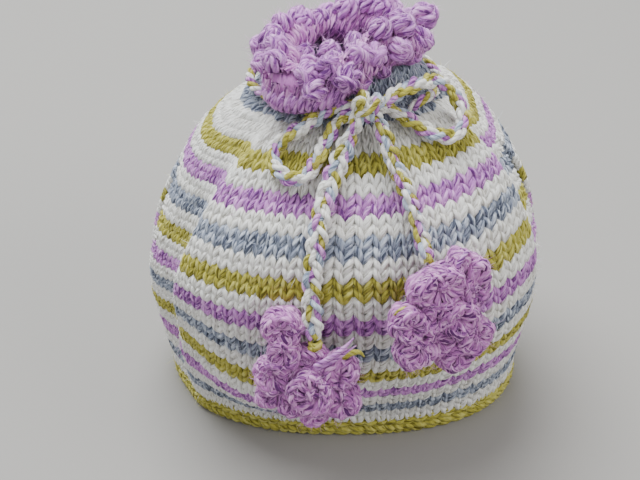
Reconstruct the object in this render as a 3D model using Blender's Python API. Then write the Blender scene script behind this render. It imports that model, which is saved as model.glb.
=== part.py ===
"""Knitted tea cosy: a hollow striped cover with two side slits, a gathered neck, a bobble frill, a tied cord with a
bow and two tails, and a crocheted flower on each tail. It stands on its hem, with the spout slit on -X, the handle
slit on +X and its front on -Y."""

import bmesh
import bpy
import numpy as np
from mathutils import Matrix, Vector

MM = 0.001
# The cloth's tables are measured from the axis of the neck, and its box is centred by moving it this far along X.
CENTRE_X = 1.65

# Cloth, in mm. The hem starts at row HEM_ROW, the stripes at row 0 and the grey neck at row NECK_ROW.
CLOTH_THICK = 3.6
HEM_ROW = -2.2
NECK_ROW = 38.0
FUNNEL_ROW = 43.0
RIM_ROW = 47.0

# row, height, half width, half depth in front, half depth behind, squareness, sag at -X, sag at +X
SECTIONS = (
    (-2.2, 0.0, 75.0, 48.5, 49.5, 2.3, 0.0, 0.0),
    (0.0, 9.0, 75.5, 48.5, 49.5, 2.3, 2.5, 0.5),
    (4.0, 24.0, 78.0, 54.0, 54.5, 2.3, 4.5, -0.5),
    (8.0, 39.0, 80.5, 61.0, 61.0, 2.3, 6.0, -2.5),
    (12.0, 54.0, 82.0, 67.0, 66.5, 2.3, 7.5, -3.5),
    (16.0, 70.0, 82.0, 71.0, 70.5, 2.3, 9.0, -3.5),
    (20.0, 86.0, 79.5, 72.5, 72.5, 2.3, 10.0, -3.0),
    (24.0, 101.5, 75.0, 69.0, 70.0, 2.2, 10.5, -3.0),
    (28.0, 115.5, 68.5, 60.5, 62.0, 2.2, 9.5, -4.0),
    (32.0, 126.5, 62.0, 49.5, 51.0, 2.1, 7.0, -5.0),
    (36.0, 137.0, 53.0, 37.0, 38.5, 2.1, 6.5, -3.5),
    (38.0, 142.0, 45.5, 31.0, 32.0, 2.0, 5.0, -2.0),
    (40.0, 145.2, 36.5, 25.5, 26.0, 2.0, 2.0, -0.5),
    (41.5, 147.2, 33.0, 23.5, 23.5, 2.0, 0.5, 0.0),
    (43.0, 149.0, 33.0, 23.5, 23.5, 2.0, 0.0, 0.0),
    (47.0, 149.5, 33.0, 23.5, 23.5, 2.0, 0.0, 0.0),
)

# Folds: turn from the front, lean per row, side it drops to, reach in turn, deepest row, rows of fade, depth, ridge
FOLDS = (
    (-55.0, 0.30, -1, 10.0, 24.0, 12.0, 8.5, 1.5),
    (64.0, 0.30, 1, 10.0, 31.0, 7.5, 8.0, 1.5),
    (-66.0, 0.10, -1, 9.0, 4.5, 4.0, 4.0, 1.0),
    (18.0, 0.00, 1, 9.0, 37.0, 3.5, 2.0, 0.8),
    (-24.0, 0.00, -1, 9.0, 37.5, 3.5, 2.2, 0.8),
    (128.0, 0.20, 1, 11.0, 30.0, 8.0, 6.0, 1.2),
    (-140.0, -0.20, -1, 10.0, 27.0, 9.0, 6.0, 1.2),
    (170.0, 0.00, -1, 9.0, 36.0, 5.0, 3.0, 0.8),
)

# Slumps in the cloth: turn, reach in turn, row, reach in rows, push outwards, lift
BULGES = (
    (-62.0, 15.0, 11.0, 5.5, -2.0, 9.0),
    (-34.0, 17.0, 7.0, 3.5, 4.5, -4.0),
    (-90.0, 14.0, 15.0, 9.0, 3.5, 0.0),
    (88.0, 24.0, -1.0, 3.0, 2.5, 0.0),
    (-90.0, 20.0, 2.0, 5.0, 2.5, 0.0),
    (94.0, 14.0, 33.5, 5.5, -5.0, -6.0),
)

# Frill edging: turn, reach from the axis, height, lean outwards in degrees
FRILL = (
    (-180.0, 24.8, 160.0, 20.0),
    (-140.0, 27.0, 158.8, 24.0),
    (-100.0, 29.2, 156.8, 33.0),
    (-70.0, 31.0, 156.4, 39.0),
    (-45.0, 34.5, 156.2, 48.0),
    (-20.0, 31.5, 157.0, 45.0),
    (5.0, 25.0, 162.5, 35.0),
    (30.0, 23.5, 166.5, 25.0),
    (60.0, 25.0, 167.0, 15.0),
    (90.0, 25.5, 164.5, 15.0),
    (135.0, 25.8, 161.5, 17.0),
)
FRILL_HALF_TALL = 6.0
FRILL_HALF_THICK = 7.6
FRILL_INWARD = 3.2
RUFFLES = 7
RUFFLE = 1.6

# Slits: side, first row, last row, half gap
SLITS = (
    (-1, 9.0, 30.0, 9.5),
    (1, 9.0, 31.0, 7.0),
)

HALF_COLUMNS = 30
BODY_ROWS = (-2.2, -1.1, 0.2) + tuple(range(2, 38, 2)) + (38, 39.5, 41.5, 43, 45, 47)

# Cords, in mm: turn, row and lift of the centreline over the cloth
CORD_RADIUS = 2.8
LOOP_RADIUS = 2.5
BAND_RADIUS = 1.9
KNOT_AT = (6.0, -33.0, 153.2)
KNOT_HALF = (4.6, 3.8, 5.2)
TAIL_LEFT = (
    (0.6, 37.0, 6.0),
    (-2.0, 35.9, 5.6),
    (-5.0, 34.4, 5.2),
    (-7.6, 32.8, 4.8),
    (-9.2, 31.0, 4.4),
    (-10.2, 28.0, 4.4),
    (-10.6, 25.0, 4.4),
    (-10.2, 22.6, 5.2),
    (-9.6, 20.8, 7.0),
    (-9.0, 19.6, 9.2),
)
TAIL_RIGHT = (
    (17.0, 38.0, 7.2),
    (18.0, 36.6, 7.0),
    (18.5, 35.2, 6.5),
    (19.4, 33.6, 6.0),
    (21.0, 31.8, 5.6),
    (22.0, 29.5, 5.2),
    (22.0, 27.5, 5.4),
    (21.8, 26.0, 7.0),
    (21.6, 25.2, 8.5),
)
LOOP_LEFT = (
    (-11.0, 39.6, 6.2),
    (-18.8, 39.0, 5.4),
    (-27.1, 37.6, 5.0),
    (-36.0, 36.2, 4.6),
    (-37.2, 34.8, 4.2),
    (-31.6, 33.4, 4.0),
    (-24.5, 32.9, 4.0),
    (-18.8, 33.3, 4.0),
    (-15.8, 34.4, 4.0),
    (-13.8, 35.8, 4.0),
    (-11.6, 37.0, 4.2),
    (-9.4, 38.0, 4.8),
)
LOOP_RIGHT = (
    (22.0, 39.1, 11.4),
    (33.0, 39.9, 13.9),
    (46.0, 40.4, 13.9),
    (58.0, 39.5, 12.4),
    (63.5, 38.5, 9.6),
    (64.0, 37.2, 6.4),
    (57.0, 35.8, 4.6),
    (49.4, 35.3, 4.2),
    (43.0, 36.0, 4.2),
    (38.5, 37.2, 4.2),
    (33.0, 38.4, 4.8),
    (27.0, 39.4, 5.4),
)
BAND = tuple((float(turn), 42.1, 4.95) for turn in range(52, 333, 10))

# Flowers: centre in mm, turn of the face from the front, lean back, both in degrees
FLOWER_LEFT_AT = (-15.0, -83.5, 70.0, -8.0, 14.0)
FLOWER_RIGHT_AT = (32.5, -80.5, 93.0, 20.0, 16.0)
# Petals: right, up, out, half width, half height, half thickness, turn in degrees
PETALS_LEFT = (
    (-9.9, 17.6, 0.0, 7.7, 7.4, 4.8, 20.0),
    (-8.8, 8.0, 1.0, 6.4, 6.6, 4.8, 0.0),
    (-12.4, -1.5, 1.0, 7.8, 7.4, 5.0, -20.0),
    (-14.5, -10.5, 1.0, 4.8, 5.0, 3.9, 0.0),
    (1.5, -6.5, 2.6, 9.2, 10.4, 5.8, 0.0),
    (12.2, 2.8, 0.8, 6.4, 7.6, 4.8, -10.0),
    (13.2, -10.4, 0.5, 7.0, 7.0, 4.6, 20.0),
    (-5.0, -11.0, 0.6, 6.4, 7.2, 4.6, 0.0),
    (2.6, -16.4, 1.0, 5.4, 5.0, 4.2, 0.0),
    (1.0, 3.0, -1.2, 8.0, 8.0, 4.0, 0.0),
)
PETALS_RIGHT = (
    (-1.5, 13.4, 1.5, 11.0, 7.8, 5.2, 8.0),
    (13.2, 12.0, 0.5, 6.2, 10.0, 4.8, -12.0),
    (7.4, 21.0, 0.6, 3.8, 4.6, 3.6, -30.0),
    (-13.4, 2.3, 1.5, 7.0, 7.4, 5.0, 0.0),
    (-4.6, 3.0, 1.6, 5.6, 6.4, 4.8, 0.0),
    (5.4, 1.0, 2.8, 7.4, 7.2, 5.4, 0.0),
    (11.2, -8.4, 1.2, 8.2, 7.0, 5.0, 25.0),
    (4.6, -15.4, 0.6, 7.2, 5.2, 4.4, 15.0),
    (-12.0, -9.5, 1.0, 8.0, 6.6, 4.8, -15.0),
    (-2.5, -7.6, 0.0, 7.4, 6.8, 4.4, 0.0),
)

WHITE_WOOL = (0.78, 0.76, 0.70)
LILAC_WOOL = (0.50, 0.24, 0.50)
CORD_WOOL = (0.55, 0.53, 0.30)


def clear_scene():
    for thing in list(bpy.data.objects):
        bpy.data.objects.remove(thing, do_unlink=True)


def smooth_rows(table, around=False):
    """Values between the rows of a table, by a monotone cubic. With around, the first column turns through 360."""
    table = np.array(table, float)
    if around:
        table = np.concatenate([table[-2:] - [360.0] + 0 * table[-2:], table, table[:2] + 0.0])
        table[:2, 1:] = table[-4:-2, 1:]
        table[-2:, 0] += 360.0
        table[:2, 0] = table[-4:-2, 0] - 360.0
    rows, values = table[:, 0], table[:, 1:]
    step = np.diff(rows)[:, None]
    slope = np.diff(values, axis=0) / step
    tangent = np.zeros_like(values)
    tangent[0], tangent[-1] = slope[0], slope[-1]
    before, after = slope[:-1], slope[1:]
    same = before * after > 0
    weight = np.where(same, before + after, 1.0)
    tangent[1:-1] = np.where(same, 2 * before * after / weight, 0.0)

    def at(row):
        row = np.clip(np.asarray(row, float), rows[0], rows[-1])
        k = np.clip(np.searchsorted(rows, row, side="right") - 1, 0, len(rows) - 2)
        t = ((row - rows[k]) / step[k, 0])[..., None]
        return (
            values[k] * (1 + 2 * t) * (1 - t) ** 2
            + tangent[k] * step[k] * t * (1 - t) ** 2
            + values[k + 1] * t * t * (3 - 2 * t)
            + tangent[k + 1] * step[k] * t * t * (t - 1)
        )

    return at


section = smooth_rows(SECTIONS)
frill = smooth_rows(FRILL, around=True)


def wrapped(turn):
    return (turn + 180.0) % 360.0 - 180.0


def fold_push(turn, row):
    """How far the folds push the cloth outwards, in mm."""
    push = np.zeros(np.broadcast(turn, row).shape)
    for centre, lean, side, reach, deepest, fade, depth, ridge in FOLDS:
        crest = centre - side * lean * (row - deepest)
        t = side * wrapped(turn - crest) / reach
        strength = np.exp(-(((row - deepest) / fade) ** 2) / 2)
        dip = np.where(t > 0, t * np.exp((1 - t * t) / 2), 0.0)
        push = push + strength * (ridge * np.exp(-np.abs(t)) - depth * dip)
    return push


def frill_line(turn):
    """Reach, height and lean of the edging's middle at a turn."""
    reach, height, lean = np.moveaxis(frill(wrapped(np.asarray(turn, float))), -1, 0)
    ruffle = RUFFLE * np.sin(np.radians(RUFFLES * turn + 40.0))
    return reach + ruffle, height, np.radians(lean)


def place(turn, row):
    """A point on the outside of the cloth, in mm. Turn is in degrees from the front towards +X."""
    turn, row = np.broadcast_arrays(np.asarray(turn, float), np.asarray(row, float))
    height, wide, front, back, power, sag_left, sag_right = np.moveaxis(section(row), -1, 0)
    s, c = np.sin(np.radians(turn)), np.cos(np.radians(turn))
    deep = np.where(c > 0, front, back)
    reach = (np.abs(s / wide) ** power + np.abs(c / deep) ** power) ** (-1 / power)
    reach = reach + fold_push(turn, row)
    z = height - np.where(s < 0, sag_left, sag_right) * np.abs(s) ** 2.5
    for centre, wide_turn, at_row, wide_row, push, lift in BULGES:
        t = wrapped(turn - centre) / wide_turn
        strength = np.exp(-(t * t + ((row - at_row) / wide_row) ** 2) / 2)
        reach = reach + strength * push
        z = z + strength * lift * np.clip((row - HEM_ROW) / 2.0, 0, 1)
    middle_reach, middle_height, lean = frill_line(turn)
    below = FRILL_HALF_TALL + 1.3
    rim_reach = middle_reach - below * np.sin(lean) + CLOTH_THICK / 2 * np.cos(lean)
    rim_height = middle_height - below * np.cos(lean) - CLOTH_THICK / 2 * np.sin(lean)
    up = np.clip((row - FUNNEL_ROW) / (RIM_ROW - FUNNEL_ROW), 0, 1)
    third = np.hypot(rim_reach - reach, rim_height - z) / 3
    funnel = (row > FUNNEL_ROW) * 1.0
    b = (1 - up) ** 3, 3 * up * (1 - up) ** 2, 3 * up**2 * (1 - up), up**3
    risen = (b[0] + b[1]) * z + b[1] * third + b[2] * (rim_height - third * np.cos(lean)) + b[3] * rim_height
    spread = (b[0] + b[1]) * reach + b[2] * (rim_reach - third * np.sin(lean)) + b[3] * rim_reach
    reach = reach + funnel * (spread - reach)
    z = z + funnel * (risen - z)
    return np.stack([reach * s, -reach * c, z], axis=-1)


def outward(turn, row):
    """The direction out of the cloth, in the upright plane through the axis."""
    step = place(turn, row + 0.6) - place(turn, row - 0.6)
    s, c = np.sin(np.radians(turn)), np.cos(np.radians(turn))
    across = step[..., 0] * s - step[..., 1] * c
    rise = step[..., 2]
    steep = np.hypot(across, rise)
    rise, across = rise / steep, across / steep
    flat = np.clip((np.asarray(row, float) - HEM_ROW) / 3.0, 0, 1)
    across = across * flat
    rise = np.sqrt(1 - across**2) * np.sign(rise)
    return np.stack([rise * s, -rise * c, -across], axis=-1)


def half_gap(side, row):
    """Half the opening of a slit at this row, in degrees of turn."""
    for at_side, first, last, gap in SLITS:
        if at_side == side and first < row < last:
            open_here = gap * np.sin(np.pi * (row - first) / (last - first)) ** 0.8
            return float(np.degrees(np.arcsin(open_here / 78.0)))
    return 0.0


def panel_turns(row, back, count):
    """Turns of count + 1 columns from slit to slit, closer together where the cloth folds."""
    if back:
        start, end = 90.0 + half_gap(1, row), 270.0 - half_gap(-1, row)
    else:
        start, end = -90.0 + half_gap(-1, row), 90.0 - half_gap(1, row)
    turns = np.linspace(start, end, 361)
    points = place(turns, np.full(361, float(row)))
    length = np.linalg.norm(np.diff(points, axis=0), axis=1)
    middle = (turns[1:] + turns[:-1]) / 2
    for fold in FOLDS[:6]:
        length = length * (1 + 0.9 * np.exp(-((wrapped(middle - fold[0] - 5 * fold[2]) / 13.0) ** 2)))
    along = np.concatenate([[0.0], np.cumsum(length)])
    return np.interp(np.linspace(0, along[-1], count + 1), along, turns)


def make_object(name, mesh, colour):
    thing = bpy.data.objects.new(name, mesh)
    bpy.context.scene.collection.objects.link(thing)
    material = bpy.data.materials.new(name + "_wool")
    material.use_nodes = True
    shader = material.node_tree.nodes["Principled BSDF"]
    shader.inputs["Base Color"].default_value = (*colour, 1.0)
    shader.inputs["Roughness"].default_value = 0.9
    mesh.materials.append(material)
    return thing


def mesh_from(name, points, faces):
    mesh = bpy.data.meshes.new(name)
    moved = (np.asarray(points, float) + [CENTRE_X, 0.0, 0.0]) * MM
    mesh.from_pydata(moved.tolist(), [], faces)
    mesh.validate()
    for face in mesh.polygons:
        face.use_smooth = True
    return mesh


def make_body():
    """The knitted cover: outside, inside, hem face, rim and the two slit edges, as one closed shell."""
    points, outer, inner = [], {}, {}
    for k, row in enumerate(BODY_ROWS):
        for panel in (0, 1):
            turns = panel_turns(row, panel == 1, HALF_COLUMNS)
            for j, turn in enumerate(turns):
                at_seam = j in (0, HALF_COLUMNS)
                side = (1 if j else -1) * (-1 if panel else 1)
                shared = at_seam and half_gap(side, row) == 0.0
                key = (k, "seam", side) if shared else (k, panel, j)
                outer[k, panel, j] = key
                if key in inner:
                    continue
                p = place(turn, row)
                q = p - CLOTH_THICK * outward(turn, row)
                if k == 0:
                    q[2] = 0.0
                inner[key] = (len(points), len(points) + 1)
                points += [p, q]
    faces = []

    def corner(k, panel, j, layer):
        return inner[outer[k, panel, j]][layer]

    last = len(BODY_ROWS) - 1
    for panel in (0, 1):
        for j in range(HALF_COLUMNS):
            for k in range(last):
                ring = [(k, j), (k, j + 1), (k + 1, j + 1), (k + 1, j)]
                faces.append([corner(a, panel, b, 0) for a, b in ring])
                faces.append([corner(a, panel, b, 1) for a, b in reversed(ring)])
            ends = [(0, j, 0), (0, j, 1), (0, j + 1, 1), (0, j + 1, 0)]
            faces.append([corner(a, panel, b, layer) for a, b, layer in ends])
            ends = [(last, j, 0), (last, j + 1, 0), (last, j + 1, 1), (last, j, 1)]
            faces.append([corner(a, panel, b, layer) for a, b, layer in ends])
        for j in (0, HALF_COLUMNS):
            for k in range(last):
                side = (1 if j else -1) * (-1 if panel else 1)
                gaps = [half_gap(side, BODY_ROWS[k]), half_gap(side, BODY_ROWS[k + 1])]
                if max(gaps) == 0.0:
                    continue
                quad = [(k, 0), (k + 1, 0), (k + 1, 1), (k, 1)]
                if j:
                    quad = list(reversed(quad))
                faces.append([corner(a, panel, j, layer) for a, layer in quad])
    make_object("body", mesh_from("body", points, faces), WHITE_WOOL)


def make_frill():
    """The bobble edging: a ruffled ring with rounded bumps, standing on the rim of the funnel."""
    around, across = 72, 12
    points, faces = [], []
    for i in range(around):
        turn = -180.0 + 360.0 * i / around
        reach, height, lean = (float(v) for v in frill_line(turn))
        s, c = np.sin(np.radians(turn)), np.cos(np.radians(turn))
        up = np.array([np.sin(lean) * s, -np.sin(lean) * c, np.cos(lean)])
        out = np.array([np.cos(lean) * s, -np.cos(lean) * c, -np.sin(lean)])
        middle = np.array([reach * s, -reach * c, height])
        for j in range(across):
            a = 2 * np.pi * j / across
            swell = 1.0 + 0.13 * np.sin(2 * np.pi * 26 * i / around + 2.1 * j) * (np.sin(a) > -0.6)
            swell = swell if np.sin(a) > -0.5 else 0.96
            offset = FRILL_HALF_THICK * np.cos(a) * out + FRILL_HALF_TALL * np.sin(a) * up
            points.append(middle - FRILL_INWARD * out + swell * offset)
            n, m = (i + 1) % around, (j + 1) % across
            faces.append([i * across + j, n * across + j, n * across + m, i * across + m])
    make_object("frill_edging", mesh_from("frill_edging", points, faces), LILAC_WOOL)


def smooth_line(route, step):
    """Points every step mm along a smooth curve through the route, each given as a place on the cloth and a lift."""
    knots = []
    for turn, row, lift in route:
        knots.append(place(turn, row) + lift * outward(turn, row))
    return resample(knots, step)


def resample(knots, step):
    knots = np.array(knots, float)
    ends = np.concatenate([[2 * knots[0] - knots[1]], knots, [2 * knots[-1] - knots[-2]]])
    fine = []
    for k in range(1, len(ends) - 2):
        a, b, c, d = ends[k - 1 : k + 3]
        for t in np.arange(0, 1, 0.05):
            fine.append(
                0.5
                * (2 * b + (c - a) * t + (2 * a - 5 * b + 4 * c - d) * t**2 + (3 * b - a - 3 * c + d) * t**3)
            )
    fine = np.array([*fine, knots[-1]])
    along = np.concatenate([[0.0], np.cumsum(np.linalg.norm(np.diff(fine, axis=0), axis=1))])
    count = max(2, int(round(along[-1] / step)) + 1)
    return np.stack([np.interp(np.linspace(0, along[-1], count), along, fine[:, i]) for i in range(3)], 1)


def make_cord(name, line, radius):
    curve = bpy.data.curves.new(name, "CURVE")
    curve.dimensions = "3D"
    curve.bevel_depth = radius * MM
    curve.bevel_resolution = 2
    curve.use_fill_caps = True
    curve.render_resolution_u = 0
    spline = curve.splines.new("POLY")
    spline.points.add(len(line) - 1)
    for point, at in zip(spline.points, line):
        point.co = ((at[0] + CENTRE_X) * MM, at[1] * MM, at[2] * MM, 1.0)
    make_object(name, curve, CORD_WOOL)


def ellipsoid(middle, half, turn_matrix, segments=10, rings=7):
    shape = bmesh.new()
    bmesh.ops.create_uvsphere(shape, u_segments=segments, v_segments=rings, radius=1.0)
    middle = Vector(middle) + Vector((CENTRE_X, 0.0, 0.0))
    move = Matrix.Translation(middle * MM) @ turn_matrix @ Matrix.Diagonal((*(h * MM for h in half), 1.0))
    bmesh.ops.transform(shape, matrix=move, verts=shape.verts)
    return shape


def mesh_of(name, shape):
    mesh = bpy.data.meshes.new(name)
    shape.to_mesh(mesh)
    shape.free()
    for face in mesh.polygons:
        face.use_smooth = True
    return mesh


def make_knot():
    shape = ellipsoid(KNOT_AT, KNOT_HALF, Matrix.Rotation(np.radians(-12), 4, "Y"), 14, 10)
    make_object("knot", mesh_of("knot", shape), CORD_WOOL)


def make_flower(name, at, petals):
    """Petals as overlapping rounded lumps, united into one body."""
    x, y, z, turn, lean = at
    face = Matrix.Rotation(np.radians(turn), 4, "Z") @ Matrix.Rotation(np.radians(-lean), 4, "X")
    first = None
    for k, (right, up, out, wide, tall, thick, twist) in enumerate(petals):
        local = Vector((right, -out, up))
        middle = Vector((x, y, z)) + face.to_3x3() @ local
        spin = face @ Matrix.Rotation(np.radians(-twist), 4, "Y")
        shape = ellipsoid(middle, (wide, thick, tall), spin)
        if first is None:
            first = make_object(name, mesh_of(name, shape), LILAC_WOOL)
            continue
        helper = bpy.data.objects.new(f"{name}_petal_{k}", mesh_of(f"{name}_petal_{k}", shape))
        bpy.context.scene.collection.objects.link(helper)
        helper.hide_render = True
        helper.hide_viewport = True
        join = first.modifiers.new(f"petal_{k}", "BOOLEAN")
        join.operation = "UNION"
        join.solver = "EXACT"
        join.object = helper


clear_scene()
make_body()
make_frill()
make_cord("tie_band", smooth_line(BAND, 8.0), BAND_RADIUS)
make_cord("loop_left", smooth_line(LOOP_LEFT, 6.0), LOOP_RADIUS)
make_cord("loop_right", smooth_line(LOOP_RIGHT, 6.0), LOOP_RADIUS)
make_cord("tail_left", smooth_line(TAIL_LEFT, 8.0), CORD_RADIUS)
make_cord("tail_right", smooth_line(TAIL_RIGHT, 8.0), CORD_RADIUS)
make_knot()
make_flower("flower_left", FLOWER_LEFT_AT, PETALS_LEFT)
make_flower("flower_right", FLOWER_RIGHT_AT, PETALS_RIGHT)
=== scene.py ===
"""Looks of a knitted tea cosy: every stitch of the striped cover, its rolled hem, the gathered neck,
the bobble frill, the plaited cord with its bow and tails, and the crocheted flowers.
Lengths are in mm until a mesh is made."""

import bpy
import numpy as np
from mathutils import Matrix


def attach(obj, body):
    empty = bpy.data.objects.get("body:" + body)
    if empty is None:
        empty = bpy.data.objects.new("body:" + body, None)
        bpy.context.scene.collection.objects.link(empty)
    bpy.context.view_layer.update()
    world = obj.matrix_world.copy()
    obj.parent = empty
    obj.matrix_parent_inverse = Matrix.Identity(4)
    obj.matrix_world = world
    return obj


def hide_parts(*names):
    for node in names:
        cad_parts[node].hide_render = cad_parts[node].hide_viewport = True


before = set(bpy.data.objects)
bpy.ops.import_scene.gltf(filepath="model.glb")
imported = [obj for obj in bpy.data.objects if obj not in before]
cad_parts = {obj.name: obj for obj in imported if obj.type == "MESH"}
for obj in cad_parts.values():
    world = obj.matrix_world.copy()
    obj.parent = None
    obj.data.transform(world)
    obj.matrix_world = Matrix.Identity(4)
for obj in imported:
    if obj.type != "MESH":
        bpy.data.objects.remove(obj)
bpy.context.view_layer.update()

MM = 0.001
CENTRE_X = 1.65
RNG = np.random.default_rng(11)

# Cloth, in mm. The hem starts at row HEM_ROW, the stripes at row 0 and the grey neck at row NECK_ROW.
CLOTH_THICK = 3.6
HEM_ROW = -2.2
NECK_ROW = 38.0
FUNNEL_ROW = 43.0
RIM_ROW = 47.0

# row, height, half width, half depth in front, half depth behind, squareness, sag at -X, sag at +X
SECTIONS = (
    (-2.2, 0.0, 75.0, 48.5, 49.5, 2.3, 0.0, 0.0),
    (0.0, 9.0, 75.5, 48.5, 49.5, 2.3, 2.5, 0.5),
    (4.0, 24.0, 78.0, 54.0, 54.5, 2.3, 4.5, -0.5),
    (8.0, 39.0, 80.5, 61.0, 61.0, 2.3, 6.0, -2.5),
    (12.0, 54.0, 82.0, 67.0, 66.5, 2.3, 7.5, -3.5),
    (16.0, 70.0, 82.0, 71.0, 70.5, 2.3, 9.0, -3.5),
    (20.0, 86.0, 79.5, 72.5, 72.5, 2.3, 10.0, -3.0),
    (24.0, 101.5, 75.0, 69.0, 70.0, 2.2, 10.5, -3.0),
    (28.0, 115.5, 68.5, 60.5, 62.0, 2.2, 9.5, -4.0),
    (32.0, 126.5, 62.0, 49.5, 51.0, 2.1, 7.0, -5.0),
    (36.0, 137.0, 53.0, 37.0, 38.5, 2.1, 6.5, -3.5),
    (38.0, 142.0, 45.5, 31.0, 32.0, 2.0, 5.0, -2.0),
    (40.0, 145.2, 36.5, 25.5, 26.0, 2.0, 2.0, -0.5),
    (41.5, 147.2, 33.0, 23.5, 23.5, 2.0, 0.5, 0.0),
    (43.0, 149.0, 33.0, 23.5, 23.5, 2.0, 0.0, 0.0),
    (47.0, 149.5, 33.0, 23.5, 23.5, 2.0, 0.0, 0.0),
)

# Folds: turn from the front, lean per row, side it drops to, reach in turn, deepest row, rows of fade,
# depth, ridge
FOLDS = (
    (-55.0, 0.30, -1, 10.0, 24.0, 12.0, 8.5, 1.5),
    (64.0, 0.30, 1, 10.0, 31.0, 7.5, 8.0, 1.5),
    (-66.0, 0.10, -1, 9.0, 4.5, 4.0, 4.0, 1.0),
    (18.0, 0.00, 1, 9.0, 37.0, 3.5, 2.0, 0.8),
    (-24.0, 0.00, -1, 9.0, 37.5, 3.5, 2.2, 0.8),
    (128.0, 0.20, 1, 11.0, 30.0, 8.0, 6.0, 1.2),
    (-140.0, -0.20, -1, 10.0, 27.0, 9.0, 6.0, 1.2),
    (170.0, 0.00, -1, 9.0, 36.0, 5.0, 3.0, 0.8),
)

# Slumps in the cloth: turn, reach in turn, row, reach in rows, push outwards, lift
BULGES = (
    (-62.0, 15.0, 11.0, 5.5, -2.0, 9.0),
    (-34.0, 17.0, 7.0, 3.5, 4.5, -4.0),
    (-90.0, 14.0, 15.0, 9.0, 3.5, 0.0),
    (88.0, 24.0, -1.0, 3.0, 2.5, 0.0),
    (-90.0, 20.0, 2.0, 5.0, 2.5, 0.0),
    (94.0, 14.0, 33.5, 5.5, -5.0, -6.0),
)

# Frill edging: turn, reach from the axis, height, lean outwards in degrees
FRILL = (
    (-180.0, 24.8, 160.0, 20.0),
    (-140.0, 27.0, 158.8, 24.0),
    (-100.0, 29.2, 156.8, 33.0),
    (-70.0, 31.0, 156.4, 39.0),
    (-45.0, 34.5, 156.2, 48.0),
    (-20.0, 31.5, 157.0, 45.0),
    (5.0, 25.0, 162.5, 35.0),
    (30.0, 23.5, 166.5, 25.0),
    (60.0, 25.0, 167.0, 15.0),
    (90.0, 25.5, 164.5, 15.0),
    (135.0, 25.8, 161.5, 17.0),
)
FRILL_HALF_TALL = 6.0
FRILL_INWARD = 3.2
RUFFLES = 7
RUFFLE = 1.6

# Slits: side, first row, last row, half gap
SLITS = (
    (-1, 9.0, 30.0, 9.5),
    (1, 9.0, 31.0, 7.0),
)

KNOT_AT = (6.0, -33.0, 153.2)
# Cords: turn, row, and lift of the centreline over the cloth in mm
TAIL_LEFT = (
    (0.6, 37.0, 6.0),
    (-2.0, 35.9, 5.6),
    (-5.0, 34.4, 5.2),
    (-7.6, 32.8, 4.8),
    (-9.2, 31.0, 4.4),
    (-10.2, 28.0, 4.4),
    (-10.6, 25.0, 4.4),
    (-10.2, 22.6, 5.2),
    (-9.6, 20.8, 7.0),
    (-9.0, 19.6, 9.2),
)
TAIL_RIGHT = (
    (17.0, 38.0, 7.2),
    (18.0, 36.6, 7.0),
    (18.5, 35.2, 6.5),
    (19.4, 33.6, 6.0),
    (21.0, 31.8, 5.6),
    (22.0, 29.5, 5.2),
    (22.0, 27.5, 5.4),
    (21.8, 26.0, 7.0),
    (21.6, 25.2, 8.5),
)
LOOP_LEFT = (
    (-11.0, 39.6, 6.2),
    (-18.8, 39.0, 5.4),
    (-27.1, 37.6, 5.0),
    (-36.0, 36.2, 4.6),
    (-37.2, 34.8, 4.2),
    (-31.6, 33.4, 4.0),
    (-24.5, 32.9, 4.0),
    (-18.8, 33.3, 4.0),
    (-15.8, 34.4, 4.0),
    (-13.8, 35.8, 4.0),
    (-11.6, 37.0, 4.2),
    (-9.4, 38.0, 4.8),
)
LOOP_RIGHT = (
    (22.0, 39.1, 11.4),
    (33.0, 39.9, 13.9),
    (46.0, 40.4, 13.9),
    (58.0, 39.5, 12.4),
    (63.5, 38.5, 9.6),
    (64.0, 37.2, 6.4),
    (57.0, 35.8, 4.6),
    (49.4, 35.3, 4.2),
    (43.0, 36.0, 4.2),
    (38.5, 37.2, 4.2),
    (33.0, 38.4, 4.8),
    (27.0, 39.4, 5.4),
)
BAND = tuple((float(turn), 42.1, 4.95) for turn in range(52, 333, 10))

# Flowers: centre in mm, turn of the face from the front, lean back, both in degrees
FLOWER_LEFT_AT = (-15.0, -83.5, 70.0, -8.0, 14.0)
FLOWER_RIGHT_AT = (32.5, -80.5, 93.0, 20.0, 16.0)
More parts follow.
